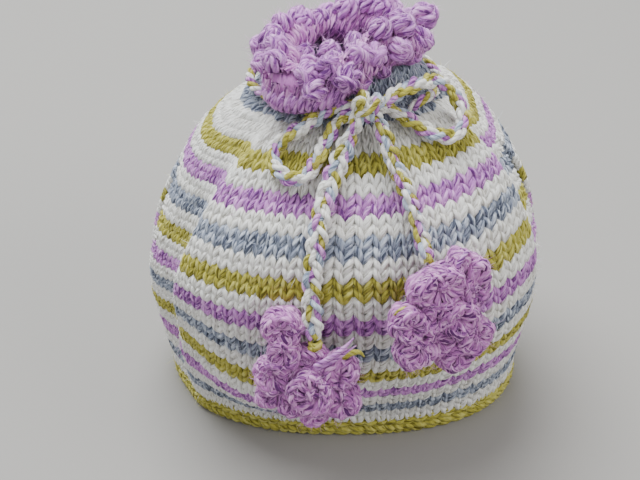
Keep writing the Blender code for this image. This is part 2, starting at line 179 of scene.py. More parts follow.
# Petals: right, up, out, half width, half height, half thickness, turn in degrees
PETALS_LEFT = (
    (-9.9, 17.6, 0.0, 7.7, 7.4, 4.8, 20.0),
    (-8.8, 8.0, 1.0, 6.4, 6.6, 4.8, 0.0),
    (-12.4, -1.5, 1.0, 7.8, 7.4, 5.0, -20.0),
    (-14.5, -10.5, 1.0, 4.8, 5.0, 3.9, 0.0),
    (1.5, -6.5, 2.6, 9.2, 10.4, 5.8, 0.0),
    (12.2, 2.8, 0.8, 6.4, 7.6, 4.8, -10.0),
    (13.2, -10.4, 0.5, 7.0, 7.0, 4.6, 20.0),
    (-5.0, -11.0, 0.6, 6.4, 7.2, 4.6, 0.0),
    (2.6, -16.4, 1.0, 5.4, 5.0, 4.2, 0.0),
    (1.0, 3.0, -1.2, 8.0, 8.0, 4.0, 0.0),
)
PETALS_RIGHT = (
    (-1.5, 13.4, 1.5, 11.0, 7.8, 5.2, 8.0),
    (13.2, 12.0, 0.5, 6.2, 10.0, 4.8, -12.0),
    (7.4, 21.0, 0.6, 3.8, 4.6, 3.6, -30.0),
    (-13.4, 2.3, 1.5, 7.0, 7.4, 5.0, 0.0),
    (-4.6, 3.0, 1.6, 5.6, 6.4, 4.8, 0.0),
    (5.4, 1.0, 2.8, 7.4, 7.2, 5.4, 0.0),
    (11.2, -8.4, 1.2, 8.2, 7.0, 5.0, 25.0),
    (4.6, -15.4, 0.6, 7.2, 5.2, 4.4, 15.0),
    (-12.0, -9.5, 1.0, 8.0, 6.6, 4.8, -15.0),
    (-2.5, -7.6, 0.0, 7.4, 6.8, 4.4, 0.0),
)


def smooth_rows(table, around=False):
    """Values between the rows of a table, by a monotone cubic. With around, its first column is a turn
    that starts again after 360 degrees."""
    table = np.array(table, float)
    if around:
        table = np.concatenate([table[-2:] - [360.0] + 0 * table[-2:], table, table[:2] + 0.0])
        table[:2, 1:] = table[-4:-2, 1:]
        table[-2:, 0] += 360.0
        table[:2, 0] = table[-4:-2, 0] - 360.0
    rows, values = table[:, 0], table[:, 1:]
    step = np.diff(rows)[:, None]
    slope = np.diff(values, axis=0) / step
    tangent = np.zeros_like(values)
    tangent[0], tangent[-1] = slope[0], slope[-1]
    before, after = slope[:-1], slope[1:]
    same = before * after > 0
    weight = np.where(same, before + after, 1.0)
    tangent[1:-1] = np.where(same, 2 * before * after / weight, 0.0)

    def at(row):
        row = np.clip(np.asarray(row, float), rows[0], rows[-1])
        k = np.clip(np.searchsorted(rows, row, side="right") - 1, 0, len(rows) - 2)
        t = ((row - rows[k]) / step[k, 0])[..., None]
        return (
            values[k] * (1 + 2 * t) * (1 - t) ** 2
            + tangent[k] * step[k] * t * (1 - t) ** 2
            + values[k + 1] * t * t * (3 - 2 * t)
            + tangent[k + 1] * step[k] * t * t * (t - 1)
        )

    return at


section = smooth_rows(SECTIONS)
frill = smooth_rows(FRILL, around=True)


def wrapped(turn):
    return (turn + 180.0) % 360.0 - 180.0


def fold_push(turn, row):
    """How far the folds push the cloth outwards, in mm."""
    push = np.zeros(np.broadcast(turn, row).shape)
    for centre, lean, side, reach, deepest, fade, depth, ridge in FOLDS:
        crest = centre - side * lean * (row - deepest)
        t = side * wrapped(turn - crest) / reach
        strength = np.exp(-(((row - deepest) / fade) ** 2) / 2)
        dip = np.where(t > 0, t * np.exp((1 - t * t) / 2), 0.0)
        push = push + strength * (ridge * np.exp(-np.abs(t)) - depth * dip)
    return push


def frill_line(turn):
    """Reach, height and lean of the edging's middle at a turn."""
    reach, height, lean = np.moveaxis(frill(wrapped(np.asarray(turn, float))), -1, 0)
    ruffle = RUFFLE * np.sin(np.radians(RUFFLES * turn + 40.0))
    return reach + ruffle, height, np.radians(lean)


def place(turn, row):
    """A point on the outside of the cloth, in mm. Turn is in degrees from the front towards +X."""
    turn, row = np.broadcast_arrays(np.asarray(turn, float), np.asarray(row, float))
    height, wide, front, back, power, sag_left, sag_right = np.moveaxis(section(row), -1, 0)
    s, c = np.sin(np.radians(turn)), np.cos(np.radians(turn))
    deep = np.where(c > 0, front, back)
    reach = (np.abs(s / wide) ** power + np.abs(c / deep) ** power) ** (-1 / power)
    reach = reach + fold_push(turn, row)
    z = height - np.where(s < 0, sag_left, sag_right) * np.abs(s) ** 2.5
    for centre, wide_turn, at_row, wide_row, push, lift in BULGES:
        t = wrapped(turn - centre) / wide_turn
        strength = np.exp(-(t * t + ((row - at_row) / wide_row) ** 2) / 2)
        reach = reach + strength * push
        z = z + strength * lift * np.clip((row - HEM_ROW) / 2.0, 0, 1)
    middle_reach, middle_height, lean = frill_line(turn)
    below = FRILL_HALF_TALL + 1.3
    rim_reach = middle_reach - below * np.sin(lean) + CLOTH_THICK / 2 * np.cos(lean)
    rim_height = middle_height - below * np.cos(lean) - CLOTH_THICK / 2 * np.sin(lean)
    up = np.clip((row - FUNNEL_ROW) / (RIM_ROW - FUNNEL_ROW), 0, 1)
    third = np.hypot(rim_reach - reach, rim_height - z) / 3
    funnel = (row > FUNNEL_ROW) * 1.0
    b = (1 - up) ** 3, 3 * up * (1 - up) ** 2, 3 * up**2 * (1 - up), up**3
    risen = (b[0] + b[1]) * z + b[1] * third + b[2] * (rim_height - third * np.cos(lean)) + b[3] * rim_height
    spread = (b[0] + b[1]) * reach + b[2] * (rim_reach - third * np.sin(lean)) + b[3] * rim_reach
    reach = reach + funnel * (spread - reach)
    z = z + funnel * (risen - z)
    return np.stack([reach * s, -reach * c, z], axis=-1)


def outward(turn, row):
    """The direction out of the cloth, in the upright plane through the axis."""
    step = place(turn, row + 0.6) - place(turn, row - 0.6)
    s, c = np.sin(np.radians(turn)), np.cos(np.radians(turn))
    across = step[..., 0] * s - step[..., 1] * c
    rise = step[..., 2]
    steep = np.hypot(across, rise)
    rise, across = rise / steep, across / steep
    flat = np.clip((np.asarray(row, float) - HEM_ROW) / 3.0, 0, 1)
    across = across * flat
    rise = np.sqrt(1 - across**2) * np.sign(rise)
    return np.stack([rise * s, -rise * c, -across], axis=-1)


def half_gap(side, row):
    """Half the opening of a slit at this row, in degrees of turn."""
    for at_side, first, last, gap in SLITS:
        if at_side == side and first < row < last:
            open_here = gap * np.sin(np.pi * (row - first) / (last - first)) ** 0.8
            return float(np.degrees(np.arcsin(open_here / 78.0)))
    return 0.0


def panel_turns(row, back, count):
    """Turns of count + 1 columns from slit to slit, closer together where the cloth folds."""
    if back:
        start, end = 90.0 + half_gap(1, row), 270.0 - half_gap(-1, row)
    else:
        start, end = -90.0 + half_gap(-1, row), 90.0 - half_gap(1, row)
    turns = np.linspace(start, end, 361)
    points = place(turns, np.full(361, float(row)))
    length = np.linalg.norm(np.diff(points, axis=0), axis=1)
    middle = (turns[1:] + turns[:-1]) / 2
    for fold in FOLDS[:6]:
        length = length * (1 + 0.9 * np.exp(-((wrapped(middle - fold[0] - 5 * fold[2]) / 13.0) ** 2)))
    along = np.concatenate([[0.0], np.cumsum(length)])
    return np.interp(np.linspace(0, along[-1], count + 1), along, turns)


def smooth_line(route, step):
    """Points every step mm along a smooth curve through the route's places on the cloth and their lifts."""
    knots = []
    for turn, row, lift in route:
        knots.append(place(turn, row) + lift * outward(turn, row))
    return resample(knots, step)


def resample(knots, step):
    knots = np.array(knots, float)
    ends = np.concatenate([[2 * knots[0] - knots[1]], knots, [2 * knots[-1] - knots[-2]]])
    fine = []
    for k in range(1, len(ends) - 2):
        a, b, c, d = ends[k - 1 : k + 3]
        for t in np.arange(0, 1, 0.05):
            fine.append(
                0.5
                * (2 * b + (c - a) * t + (2 * a - 5 * b + 4 * c - d) * t**2 + (3 * b - a - 3 * c + d) * t**3)
            )
    fine = np.array([*fine, knots[-1]])
    along = np.concatenate([[0.0], np.cumsum(np.linalg.norm(np.diff(fine, axis=0), axis=1))])
    count = max(2, int(round(along[-1] / step)) + 1)
    return np.stack([np.interp(np.linspace(0, along[-1], count), along, fine[:, i]) for i in range(3)], 1)


# ---------------------------------------------------------------- camera, floor and light


CAMERA_AT = (-0.00915, -0.3883, 0.3514)
CAMERA_TILT = 54.0
CAMERA_LENS = 62.7
FLOOR_HALF = 4.0
FLOOR_DROP = 0.0002
FLOOR_COLOUR = (0.31, 0.295, 0.275, 1.0)
WORLD_COLOUR = (0.93, 0.96, 1.0, 1.0)
WORLD_STRENGTH = 0.75
# name, place, aim, size, watts, colour: metres
LIGHTS = (
    ("sky_light", (-0.35, 0.45, 1.5), (0.0, 0.0, 0.05), 1.3, 54.0, (0.93, 0.97, 1.0)),
    ("side_light", (1.0, -0.5, 0.9), (0.0, 0.0, 0.08), 0.7, 7.0, (1.0, 0.98, 0.95)),
)


def stage_scene():
    camera = link("camera", bpy.data.cameras.new("camera"))
    camera.data.lens = CAMERA_LENS
    camera.data.sensor_width = 36.0
    camera.data.clip_start = 0.01
    camera.location = CAMERA_AT
    camera.rotation_euler = (np.radians(CAMERA_TILT), 0.0, 0.0)
    bpy.context.scene.camera = camera

    mesh = bpy.data.meshes.new("floor")
    corners = [(x * FLOOR_HALF, y * FLOOR_HALF, 0) for x, y in ((-1, -1), (1, -1), (1, 1), (-1, 1))]
    mesh.from_pydata(corners, [], [(0, 1, 2, 3)])
    floor = link("floor", mesh)
    floor.location.z = -FLOOR_DROP
    mesh.materials.append(new_material("floor_plain", {"Base Color": FLOOR_COLOUR, "Roughness": 0.95})[0])

    for name, at, aim, size, power, colour in LIGHTS:
        lamp = bpy.data.lights.new(name, "AREA")
        lamp.shape = "DISK"
        lamp.size = size
        lamp.energy = power
        lamp.color = colour
        thing = link(name, lamp)
        thing.location = at
        way = np.array(aim, float) - np.array(at, float)
        level = float(np.hypot(way[0], way[1]))
        thing.rotation_euler = (np.arctan2(level, -way[2]), 0.0, np.arctan2(-way[0], way[1]))

    world = bpy.data.worlds.new("studio")
    world.use_nodes = True
    set_inputs(world.node_tree.nodes["Background"], {"Color": WORLD_COLOUR, "Strength": WORLD_STRENGTH})
    bpy.context.scene.world = world


# ---------------------------------------------------------------- wool


def linear(*rgb):
    """A colour given as 0 to 255 screen values, as the shader's linear values."""
    c = np.array(rgb, float) / 255.0
    c = np.where(c <= 0.04045, c / 12.92, ((c + 0.055) / 1.055) ** 2.4)
    return (float(c[0]), float(c[1]), float(c[2]), 1.0)


# dark, middle, light, sheen tint, share of heather
WOOLS = {
    "white": ((176, 170, 158), (244, 242, 236), (254, 253, 250), (255, 253, 248), 0.15),
    "olive": ((98, 90, 18), (182, 174, 70), (216, 210, 124), (225, 220, 160), 0.45),
    "lilac": ((106, 50, 122), (198, 128, 204), (240, 186, 238), (242, 206, 244), 0.66),
    "mauve": ((92, 40, 102), (192, 118, 188), (240, 186, 230), (242, 206, 238), 0.66),
    "grey": ((72, 78, 96), (150, 158, 176), (214, 220, 230), (218, 225, 235), 0.90),
    "silver": ((104, 116, 138), (182, 194, 212), (226, 234, 244), (234, 240, 247), 0.5),
}

# Relief of the yarns and of the cloth behind them, in metres, and the painted shade that darkens the cloth's
# hollows
YARN_RELIEF = 0.0005
CLOTH_RELIEF = 0.0009
PAINTED_HOLLOW_SHADE = (0.60, 0.58, 0.58, 1.0)


class Signal:
    """A value inside a material's node tree. It can be added to, multiplied and divided."""

    def __init__(self, tree, socket):
        self.tree, self.socket = tree, socket

    def joined(self, kind, other=None):
        node = self.tree.nodes.new("ShaderNodeMath")
        node.operation = kind
        connect(self.tree, self, node.inputs[0])
        if other is not None:
            connect(self.tree, other, node.inputs[1])
        return Signal(self.tree, node.outputs[0])

    def __add__(self, other):
        return self.joined("ADD", other)

    def __mul__(self, other):
        return self.joined("MULTIPLY", other)

    def __truediv__(self, other):
        return self.joined("DIVIDE", other)

    def humps(self, per_unit):
        """Round humps, so many to each unit of the value."""
        return (self * (per_unit * float(np.pi))).joined("SINE").joined("ABSOLUTE")


def connect(tree, value, socket):
    """Links a signal to a socket, or sets the socket to a plain value."""
    if isinstance(value, Signal):
        tree.links.new(value.socket, socket)
    else:
        socket.default_value = value


def set_inputs(node, values):
    for name, value in values.items():
        node.inputs[name].default_value = value


def new_material(name, values):
    """A material whose shader has the given values, its node tree and its shader."""
    material = bpy.data.materials.new(name)
    material.use_nodes = True
    tree = material.node_tree
    shader = tree.nodes["Principled BSDF"]
    set_inputs(shader, values)
    return material, tree, shader


def yarn_map(tree):
    """The map's two values: how far along and round a yarn, or the column and row of the cloth."""
    place_on = tree.nodes.new("ShaderNodeUVMap")
    place_on.uv_map = "Yarn"
    split = tree.nodes.new("ShaderNodeSeparateXYZ")
    tree.links.new(place_on.outputs[0], split.inputs[0])
    return Signal(tree, split.outputs[0]), Signal(tree, split.outputs[1])


def attribute(tree, name, output):
    """A value that the mesh holds for each of its points."""
    node = tree.nodes.new("ShaderNodeAttribute")
    node.attribute_name = name
    return Signal(tree, node.outputs[output])


def noise(tree, spot, scale, detail, rough):
    """Noise at a place given by three values."""
    place_at = tree.nodes.new("ShaderNodeCombineXYZ")
    for socket, value in zip(place_at.inputs, spot):
        connect(tree, value, socket)
    node = tree.nodes.new("ShaderNodeTexNoise")
    set_inputs(node, {"Scale": scale, "Detail": detail, "Roughness": rough})
    tree.links.new(place_at.outputs[0], node.inputs["Vector"])
    return Signal(tree, node.outputs["Fac"])


def blend_colour(tree, share, a, b, kind="MIX"):
    node = tree.nodes.new("ShaderNodeMix")
    node.data_type = "RGBA"
    node.blend_type = kind
    for socket, value in ((node.inputs["Factor"], share), (node.inputs[6], a), (node.inputs[7], b)):
        connect(tree, value, socket)
    return Signal(tree, node.outputs[2])


def between(tree, value, low, high):
    """A share that rises smoothly from 0 to 1 as the value goes from low to high."""
    node = tree.nodes.new("ShaderNodeMapRange")
    node.interpolation_type = "SMOOTHSTEP"
    set_inputs(node, {"From Min": low, "From Max": high})
    connect(tree, value, node.inputs["Value"])
    return Signal(tree, node.outputs["Result"])


def add_relief(tree, shader, height, strength, distance):
    node = tree.nodes.new("ShaderNodeBump")
    set_inputs(node, {"Strength": strength, "Distance": distance})
    connect(tree, height, node.inputs["Height"])
    tree.links.new(node.outputs[0], shader.inputs["Normal"])


def yarn_material(name, wool, plies=3, pitch=5.5, bump=0.8):
    """Spun wool: plies that wind round the yarn, fibres along them, heathered colour and painted shade in the
    grooves between the plies.
    """
    dark, middle, light, tint, heather = WOOLS[wool]
    looks = {"Roughness": 0.85, "Specular IOR Level": 0.25, "Sheen Weight": 0.35, "Sheen Roughness": 0.45}
    material, tree, shader = new_material(name, looks | {"Sheen Tint": linear(*tint)})
    along, around = yarn_map(tree)
    ridge = (around * float(plies) + along / pitch).humps(1)
    tone = attribute(tree, "tone", "Fac")
    wound = around + along / (pitch * plies)

    def streaks(across, length, shift, detail):
        return noise(tree, (wound * across, along / length, tone * shift), 1.0, detail, 0.62)

    fibres = streaks(17.0, 2.6, 5.0, 3.0)
    strands = streaks(6.0, 4.5, 9.0, 1.0)
    patches = streaks(2.2, 7.0, 13.0, 1.0)
    add_relief(tree, shader, ridge * 0.75 + fibres * 1.5, bump, YARN_RELIEF)
    pale = between(tree, strands + patches * 0.5, 0.70, 0.94)
    base = blend_colour(tree, pale * (0.35 + 0.6 * heather), linear(*middle), linear(*light))
    # Heathered streaks plus painted shade: the ridge term darkens the colour in the grooves between the plies
    heather_and_groove_shade = fibres * 0.75 + strands * (0.35 + 0.3 * heather) + ridge * 0.16 + tone * (0.06 + 0.10 * heather)
    middling = 0.68 + 0.20 * heather
    shade = between(tree, heather_and_groove_shade, middling - 0.24 + 0.10 * heather, middling + 0.02 + 0.04 * heather)
    connect(tree, blend_colour(tree, shade, linear(*dark), base), shader.inputs["Base Color"])
    return material


def cloth_material(name):
    """The back of the knitting, seen through the gaps and inside: purl bumps in each stripe's own wool, with
    painted shade in the hollows between them.
    """
    looks = {"Roughness": 0.92, "Specular IOR Level": 0.2, "Sheen Weight": 0.15}
    material, tree, shader = new_material(name, looks)
    column, row = yarn_map(tree)
    wave = (column * (2 * float(np.pi))).joined("SINE")
    bumps = (row + wave * 0.22).humps(2)
    fibres = noise(tree, (column * 2.0, row * 7.0, 0.0), 2.5, 4.0, 0.7)
    add_relief(tree, shader, bumps + fibres * 0.6, 0.8, CLOTH_RELIEF)
    wool = attribute(tree, "wool", "Color")
    # Painted shade: the wool darkens towards the hollow shade colour in the hollows between the purl bumps,
    # mottled by the fibre noise
    share = between(tree, fibres * 0.7 + bumps * 0.5, 0.15, 0.95)
    deep = blend_colour(tree, 1.0, wool, PAINTED_HOLLOW_SHADE, "MULTIPLY")
    connect(tree, blend_colour(tree, share, deep, wool), shader.inputs["Base Color"])
    return material


def fluff_material(name):
    """The loose fibres, in the colour of the wool that they stand out of."""
    looks = {"Roughness": 0.7, "Specular IOR Level": 0.3, "Sheen Weight": 0.4}
    material, tree, shader = new_material(name, looks)
    connect(tree, attribute(tree, "wool", "Color"), shader.inputs["Base Color"])
    return material


# ---------------------------------------------------------------- meshes of many yarns


def unit(v):
    return v / np.maximum(np.linalg.norm(v, axis=-1, keepdims=True), 1e-9)


class Yarns:
    """Many tubes gathered into one mesh, each with its own place in the map and its own tone."""

    def __init__(self):
        self.points, self.quads, self.yarn, self.tone, self.slot, self.tubes = [], [], [], [], [], []
        self.point_slot = []
        self.count = 0

    def add(self, line, normal, wide, tall=None, sides=6, slot=0, tone=None, drift=None):
        """line is (n, t, 3) in mm, normal points out of the cloth, wide and tall are half sizes."""
        line = np.asarray(line, float)
        if line.ndim == 2:
            line = line[None]
        n, t, _ = line.shape
        normal = np.broadcast_to(np.asarray(normal, float), line.shape)
        wide = np.broadcast_to(np.asarray(wide, float), (n, t))
        tall = wide if tall is None else np.broadcast_to(np.asarray(tall, float), (n, t))
        tangent = unit(np.gradient(line, axis=1))
        side = unit(np.cross(tangent, normal))
        up = np.cross(side, tangent)
        a = 2 * np.pi * np.arange(sides) / sides - np.pi / 2
        ring = wide[..., None, None] * np.cos(a)[:, None] * side[:, :, None, :]
        ring = ring + tall[..., None, None] * np.sin(a)[:, None] * up[:, :, None, :]
        index = np.arange(n * t * sides).reshape(n, t, sides) + self.count
        low, high = index[:, :-1], index[:, 1:]
        quads = np.stack([low, high, np.roll(high, -1, 2), np.roll(low, -1, 2)], -1)
        length = np.linalg.norm(np.diff(line, axis=1), axis=2)
        along = np.concatenate([np.zeros((n, 1)), np.cumsum(length, 1)], 1)
        whole = along[:, -1:]
        start = RNG.random((n, 1)) * 40.0 if drift is None else np.zeros((n, 1)) + drift
        around = np.arange(sides + 1) / sides

        def corners(value_low, value_high):
            u = np.stack([value_low, value_high, value_high, value_low], -1)
            return np.broadcast_to(u[:, :, None, :], (n, t - 1, sides, 4))

        v = np.stack([around[:-1], around[:-1], around[1:], around[1:]], -1)
        v = np.broadcast_to(v, (n, t - 1, sides, 4))
        shifted = along + start
        self.yarn.append(np.stack([corners(shifted[:, :-1], shifted[:, 1:]), v], -1).reshape(-1, 2))
        share = along / np.maximum(whole, 1e-6)
        self.tubes.append((n, np.stack([corners(share[:, :-1], share[:, 1:]), v], -1)))
        self.points.append((line[:, :, None, :] + ring).reshape(-1, 3))
        self.quads.append(quads.reshape(-1, 4))
        tone = RNG.random(n) if tone is None else np.zeros(n) + tone
        self.tone.append(np.repeat(tone, t * sides))
        self.slot.append(np.full(n * (t - 1) * sides, slot))
        self.point_slot.append(np.full(n * t * sides, slot))
        self.count += n * t * sides

    def build(self, name, materials):
        mesh = quick_mesh(name, in_metres(np.concatenate(self.points)), np.concatenate(self.quads))
        set_uv(mesh, "Yarn", np.concatenate(self.yarn))
        total = sum(n for n, _ in self.tubes)
        across = max(1, int(np.ceil(np.sqrt(total / 1.6))))
        down = int(np.ceil(total / across))
        maps, first = [], 0
        for n, share in self.tubes:
            cell = np.arange(first, first + n)
            corner = np.stack([cell % across, cell // across], -1)[:, None, None, None, :]
            inset = 0.06 + 0.88 * share
            maps.append(((corner + inset) / [across, down]).reshape(-1, 2))
            first += n
        set_uv(mesh, "OFBake", np.concatenate(maps))
        tone = mesh.attributes.new("tone", "FLOAT", "POINT")
        tone.data.foreach_set("value", np.concatenate(self.tone).astype(np.float32))
        mesh.polygons.foreach_set("material_index", np.concatenate(self.slot).astype(np.int32))
        for material in materials:
            mesh.materials.append(material)
        return link(name, mesh)


def quick_mesh(name, points, quads):
    mesh = bpy.data.meshes.new(name)
    mesh.vertices.add(len(points))
    mesh.vertices.foreach_set("co", np.asarray(points, np.float32).ravel())
    mesh.loops.add(quads.size)
    mesh.loops.foreach_set("vertex_index", quads.astype(np.int32).ravel())
    mesh.polygons.add(len(quads))
    mesh.polygons.foreach_set("loop_start", np.arange(0, quads.size, 4, dtype=np.int32))
    mesh.update(calc_edges=True)
    mesh.polygons.foreach_set("use_smooth", np.ones(len(quads), bool))
    return mesh


def in_metres(points):
    """Points in mm from the cover's axis, as points in metres in the CAD's frame."""
    return (np.asarray(points) + [CENTRE_X, 0.0, 0.0]) * MM


def set_colours(mesh, colours):
    layer = mesh.attributes.new("wool", "FLOAT_COLOR", "POINT")
    layer.data.foreach_set("color", np.asarray(colours, np.float32).ravel())


def set_uv(mesh, name, values):
    layer = mesh.uv_layers.new(name=name)
    layer.uv.foreach_set("vector", np.asarray(values, np.float32).ravel())


def link(name, mesh):
    thing = bpy.data.objects.new(name, mesh)
    bpy.context.scene.collection.objects.link(thing)
    return thing


def smooth(t):
    t = np.clip(t, 0, 1)
    return t * t * (3 - 2 * t)


def settle(piece, node=None):
    """Rides the piece on the body, and hides the CAD node that it stands for."""
    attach(piece, "root")
    if node:
        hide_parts(node)


def heading(angle, one, two):
    """The direction at each angle from direction one to direction two."""
    return np.cos(angle)[:, None] * one + np.sin(angle)[:, None] * two


def swell(t, ends, more):
    """A thickness that swells from both ends of a yarn to its middle."""
    return ends + more * np.sin(np.pi * t)


# ---------------------------------------------------------------- the cloth's columns and rows

PANEL_COLUMNS = 46
GRID_STEP = 0.5
GRID_ROWS = np.arange(-3.0, 48.01, GRID_STEP)


def panel_grid(back):
    return np.stack([panel_turns(row, back, PANEL_COLUMNS) for row in np.clip(GRID_ROWS, -2.2, 47.0)])


GRIDS = (panel_grid(False), panel_grid(True))


def turn_at(panel, column, row):
    """The turn of a column, counted from the panel's first edge, at a row."""
    grid = GRIDS[panel]
    r = np.clip((np.asarray(row, float) - GRID_ROWS[0]) / GRID_STEP, 0, len(GRID_ROWS) - 1.001)
    c = np.clip(np.asarray(column, float), 0, PANEL_COLUMNS - 0.001)
    k, j = r.astype(int), c.astype(int)
    a, b = r - k, c - j
    low = grid[k, j] * (1 - b) + grid[k, j + 1] * b
    high = grid[k + 1, j] * (1 - b) + grid[k + 1, j + 1] * b
    past = np.asarray(column, float) - c
    return low * (1 - a) + high * a + past * (grid[k, 1] - grid[k, 0])


def on_cloth(panel, column, row, lift):
    turn = turn_at(panel, column, row)
    row = np.clip(row, -2.2, 47.0)
    return place(turn, row) + np.asarray(lift)[..., None] * outward(turn, row), outward(turn, row)


STRIPES = ("white", "grey", "white", "lilac", "white", "olive", "white", "grey", "white", "lilac") + (
    "white", "olive", "white", "grey", "white", "lilac", "white", "olive", "white",
)


def stripe(row):
    return STRIPES[int(np.clip(row // 2, 0, len(STRIPES) - 1))]


# Points along one leg of a stitch: rows up, columns across, lift over the cloth, share of its thickness
STITCH_V = np.array([(-0.82, -0.56, -0.18, 0.24, 0.62, 0.92, 1.12)])
STITCH_U = np.array([(0.02, 0.06, 0.14, 0.25, 0.35, 0.40, 0.34)])
STITCH_LIFT = np.array([(-3.3, -2.1, -1.25, -0.95, -1.1, -1.9, -3.2)])
STITCH_FAT = np.array([(0.55, 0.82, 1.0, 1.04, 0.98, 0.82, 0.55)])


def knit_rows(yarns, rows, slot=0):
    """Stocking stitch: each stitch shows as the two legs of a V."""
    jitter = np.random.default_rng(5 + int(rows[0] * 3))
    for row in rows:
        for panel in (0, 1):
            column = np.arange(PANEL_COLUMNS) + 0.5
            v = STITCH_V + jitter.normal(0, 0.035, (PANEL_COLUMNS, 1))
            tone = jitter.random(PANEL_COLUMNS)
            for side in (-1, 1):
                swing = 1 + jitter.normal(0, 0.05, (PANEL_COLUMNS, 1))
                u = side * STITCH_U * swing
                at = column[:, None] + u + jitter.normal(0, 0.018, (PANEL_COLUMNS, 1))
                lift = STITCH_LIFT + jitter.normal(0, 0.12, (PANEL_COLUMNS, 1))
                line, normal = on_cloth(panel, at, row + v, lift)
                left, _ = on_cloth(panel, column - 0.5, row + 0.3 + 0 * column, 0 * column)
                right, _ = on_cloth(panel, column + 0.5, row + 0.3 + 0 * column, 0 * column)
                spread = np.linalg.norm(right - left, axis=1)[:, None]
                fat = STITCH_FAT * (1 + jitter.normal(0, 0.05, (PANEL_COLUMNS, 1)))
                wide = np.clip(0.255 * spread, 0.85, 1.5) * fat
                tall = (1.05 + 0.12 * wide) * fat
                yarns.add(line, normal, wide, tall, sides=5, slot=slot, tone=tone)


def wool_at(row):
    """The cloth's wool at a row: the hem is olive and the neck is grey."""
    if row < 0:
        return "olive"
    return "grey" if row > NECK_ROW + 1 else stripe(row)


def wool_colours(rows):
    return np.array([linear(*WOOLS[wool_at(row)][1]) for row in rows])


def make_cloth():
    """The cloth behind the stitches: a thin closed shell on the folds, with the slits open."""
    columns = 60
    rows = np.concatenate([[-2.2, -1.2], np.arange(0, 38, 1.0), [38, 39, 40, 41.5, 43, 44, 45, 46, 47]])
    points, quads, uv, wool = [], [], [], []
    key_of, first_of = {}, {}
    colours = wool_colours(np.clip(rows, -2, 47))
    for k, row in enumerate(rows):
        for panel in (0, 1):
            turns = panel_turns(row, panel == 1, columns)
            spots = place(turns, np.full(columns + 1, row))
            ways = outward(turns, np.full(columns + 1, row))
            for j in range(columns + 1):
                side = (1 if j else -1) * (-1 if panel else 1)
                seam = j in (0, columns) and half_gap(side, row) == 0.0
                key = (k, "seam", side) if seam else (k, panel, j)
                key_of[k, panel, j] = key
                if key in first_of:
                    continue
                first_of[key] = len(points)
                for depth in (1.6, CLOTH_THICK):
                    spot = spots[j] - depth * ways[j]
                    if k == 0:
                        spot[2] = 0.6
                    points.append(spot)
                    wool.append(colours[k])

    def corner(k, panel, j, layer):
        return first_of[key_of[k, panel, j]] + layer

    def add(ring, panel):
        quads.append([corner(k, panel, j, layer) for k, j, layer in ring])
        uv.extend([(j * PANEL_COLUMNS / columns + 50 * panel, rows[k]) for k, j, _ in ring])

    last = len(rows) - 1
    for panel in (0, 1):
        for j in range(columns):
            for k in range(last):
                ring = [(k, j, 0), (k, j + 1, 0), (k + 1, j + 1, 0), (k + 1, j, 0)]
                add(ring, panel)
                add([(a, b, 1) for a, b, _ in reversed(ring)], panel)
            add([(0, j, 0), (0, j, 1), (0, j + 1, 1), (0, j + 1, 0)], panel)
            add([(last, j, 0), (last, j + 1, 0), (last, j + 1, 1), (last, j, 1)], panel)
        for j in (0, columns):
            side = (1 if j else -1) * (-1 if panel else 1)
            for k in range(last):
                if max(half_gap(side, rows[k]), half_gap(side, rows[k + 1])) == 0.0:
                    continue
                ring = [(k, j, 0), (k + 1, j, 0), (k + 1, j, 1), (k, j, 1)]
                add(list(reversed(ring)) if j else ring, panel)
    mesh = quick_mesh("cloth", in_metres(points), np.array(quads))
    set_uv(mesh, "Yarn", np.array(uv))
    set_colours(mesh, wool)
    mesh.materials.append(cloth_material("purl_side"))
    return link("cloth", mesh)


def make_stitches():
    """The stitches of each wool, as joined meshes."""
    made = []
    for wool in ("white", "grey", "lilac", "olive"):
        rows = [row for row in range(39) if stripe(row) == wool]
        halves = (rows[: len(rows) // 2], rows[len(rows) // 2 :]) if wool == "white" else (rows,)
        for number, part in enumerate(halves):
            yarns = Yarns()
            knit_rows(yarns, part)
            name = f"stitches_{wool}" + ("", "_upper")[number]
            piece = yarns.build(name, [yarn_material(f"wool_{wool}_{number}", wool)])
            made.append((piece, yarns, wool))
    return made


# The hem's ridges: row, lift, slant, thickness
ROPES = (
    (-1.95, -1.0, 0.34, 1.0),
    (-1.25, -0.35, -0.30, 1.05),
    (-0.55, -0.45, 0.30, 1.0),
    (0.0, -1.0, -0.26, 0.8),
)


def make_hem():
    """The rolled olive hem: ridges of slanting stitches, like ropes laid side by side."""
    yarns = Yarns()
    t = np.linspace(0, 1, 8)
    for row, lift, slant, fat in ROPES:
        for panel in (0, 1):
            column = np.arange(PANEL_COLUMNS) + 0.5
            u = column[:, None] + (t[None] - 0.5) * 1.5
            v = row + slant * (t[None] - 0.5) * 2.0 + RNG.normal(0, 0.03, (PANEL_COLUMNS, 1))
            rise = lift - 1.5 + 1.35 * np.sin(np.pi * t)[None] + 0 * u
            line, normal = on_cloth(panel, u, v, rise)
            line[..., 2] = np.maximum(line[..., 2], 1.3)
            wide = 1.45 * fat * swell(t, 0.6, 0.4)[None] + 0 * u
            yarns.add(line, normal, wide, sides=6)
    return yarns.build("hem_edge", [yarn_material("wool_hem", "olive")]), yarns, "olive"


